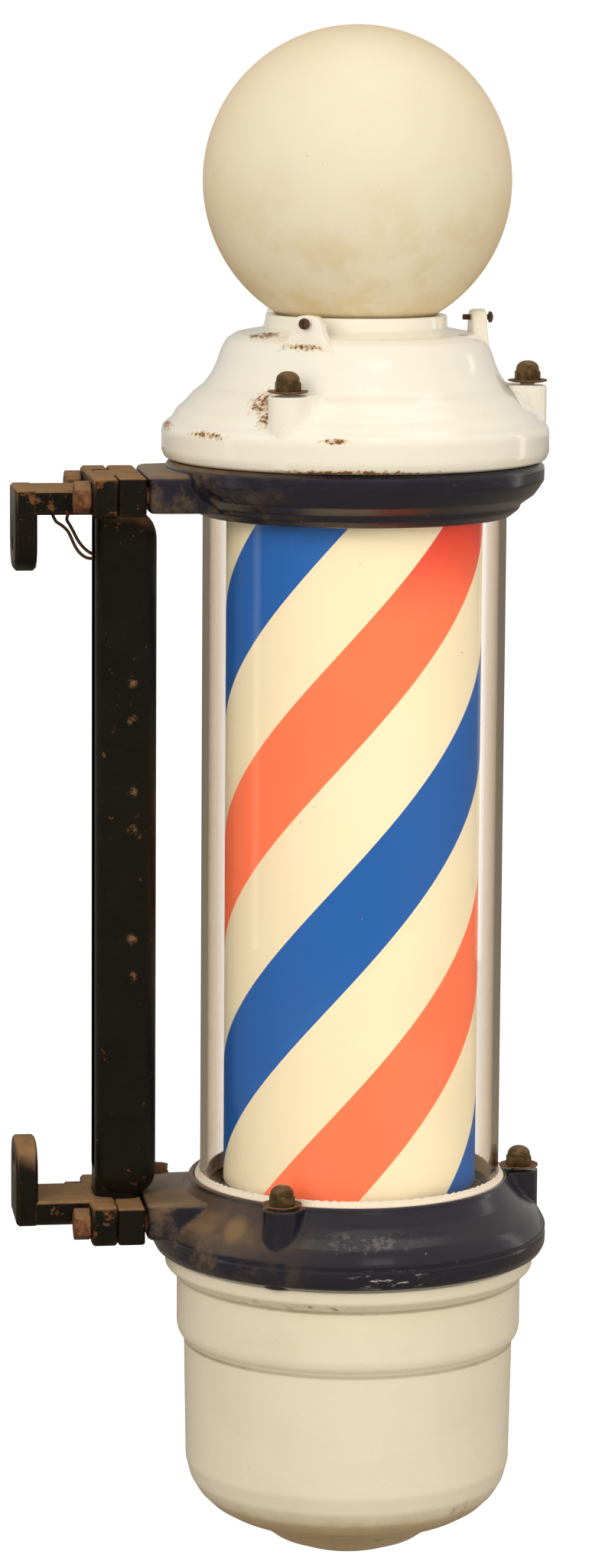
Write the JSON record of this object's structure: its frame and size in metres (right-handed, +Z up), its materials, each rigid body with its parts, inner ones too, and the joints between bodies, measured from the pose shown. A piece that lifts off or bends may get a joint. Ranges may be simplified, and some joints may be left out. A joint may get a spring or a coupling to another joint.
{
  "type": "barber pole light",
  "caption": "Wall-mounted barber pole light: opal globe on a cast cap, glass tube over a motor-driven striped cylinder, and a spine column on bolted wall brackets.",
  "frame": {"origin": "on the back face of the upper wall bracket, level with the middle of its bar, on the plane of symmetry", "axes": "+Z up along the pole, +X out from the wall to the pole, +Y completes the right-handed frame"},
  "size_m": [0.3603, 0.2666, 1.0266],
  "materials": {
    "black_paint": "worn black paint over rusty cast iron, dusty on top",
    "rusty_steel": "brown rust",
    "navy_enamel": "dark navy porcelain enamel, dusty and scratched",
    "cream_enamel": "glossy cream-white porcelain enamel with rust chips",
    "bowl_enamel": "satin cream enamel with light grime",
    "clear_glass": "clear old glass with faint streaks",
    "opal_glass": "cream opal glass, slightly mottled",
    "bulb_glass": "frosted lamp glass",
    "putty": "white painted rope packing",
    "plain_steel": "dull plated steel",
    "dark_brass": "dark aged brass",
    "machined_brass": "plain turned brass",
    "porcelain": "white glazed porcelain",
    "motor_grey": "dark grey machine paint",
    "printed_stripes": "varnished paper with red, cream and blue stripes",
    "cloth_wire": "brown cloth-covered wire"
  },
  "bodies": {
    "root": {"upper_wall_bracket": "black_paint", "lower_wall_bracket": "black_paint", "upper_front_bracket_bolt": "rusty_steel", "upper_rear_bracket_bolt": "rusty_steel", "lower_front_bracket_bolt": "rusty_steel", "lower_rear_bracket_bolt": "rusty_steel", "spine_column": "black_paint", "upper_ring_casting": "navy_enamel", "lower_ring_casting": "navy_enamel", "cap_casting": "cream_enamel", "bowl_housing": "bowl_enamel", "glass_cylinder": "clear_glass", "upper_gasket": "putty", "lower_gasket": "putty", "cap_stud_1": "plain_steel", "cap_stud_2": "plain_steel", "cap_stud_3": "plain_steel", "cap_washer_1": "rusty_steel", "cap_washer_2": "rusty_steel", "cap_washer_3": "rusty_steel", "cap_acorn_nut_1": "dark_brass", "cap_acorn_nut_2": "dark_brass", "cap_acorn_nut_3": "dark_brass", "ring_stud_1": "plain_steel", "ring_stud_2": "plain_steel", "ring_stud_3": "plain_steel", "ring_washer_1": "rusty_steel", "ring_washer_2": "rusty_steel", "ring_washer_3": "rusty_steel", "ring_acorn_nut_1": "dark_brass", "ring_acorn_nut_2": "dark_brass", "ring_acorn_nut_3": "dark_brass", "lamp_bridge": "plain_steel", "lamp_pipe": "machined_brass", "globe_socket": "porcelain", "globe_bulb": "bulb_glass", "cylinder_socket": "porcelain", "cylinder_bulb": "bulb_glass", "motor_plate": "plain_steel", "gearbox": "motor_grey", "motor": "motor_grey", "spindle_bush": "machined_brass", "supply_wire_1": "cloth_wire", "supply_wire_2": "cloth_wire", "cable_stub": "cloth_wire"},
    "rotor": {"striped_cylinder": "printed_stripes", "cylinder_base_disc": "plain_steel", "cylinder_top_spider": "plain_steel", "spindle": "plain_steel", "spindle_gear": "machined_brass"},
    "pinion": {"drive_pinion": "machined_brass"},
    "globe": {"glass_globe": "opal_glass"},
    "screw_1": {"globe_screw_1": "rusty_steel"},
    "screw_2": {"globe_screw_2": "rusty_steel"},
    "screw_3": {"globe_screw_3": "rusty_steel"}
  },
  "joints": [
    {"name": "cylinder_spin", "type": "hinge", "parent": "root", "child": "rotor", "pos_m": [0.227, 0, -0.4816], "axis": [0, 0, 1], "continuous": true},
    {"name": "pinion_spin", "type": "hinge", "parent": "root", "child": "pinion", "pos_m": [0.227, 0.0386, -0.4926], "axis": [0, 0, 1], "continuous": true},
    {"name": "globe_lift", "type": "slide", "parent": "root", "child": "globe", "axis": [0, 0, 1], "range_m": [0, 0.14]},
    {"name": "globe_screw_1_travel", "type": "slide", "parent": "root", "child": "screw_1", "axis": [1, 0, 0], "range_m": [-0.0022, 0.01]},
    {"name": "globe_screw_2_travel", "type": "slide", "parent": "root", "child": "screw_2", "axis": [-0.5, 0.866, 0], "range_m": [-0.0022, 0.01]},
    {"name": "globe_screw_3_travel", "type": "slide", "parent": "root", "child": "screw_3", "axis": [-0.5, -0.866, 0], "range_m": [-0.0022, 0.01]}
  ],
  "couplings": [
    {"joint": "pinion_spin", "follows": "cylinder_spin", "ratio": -2.6667}
  ]
}
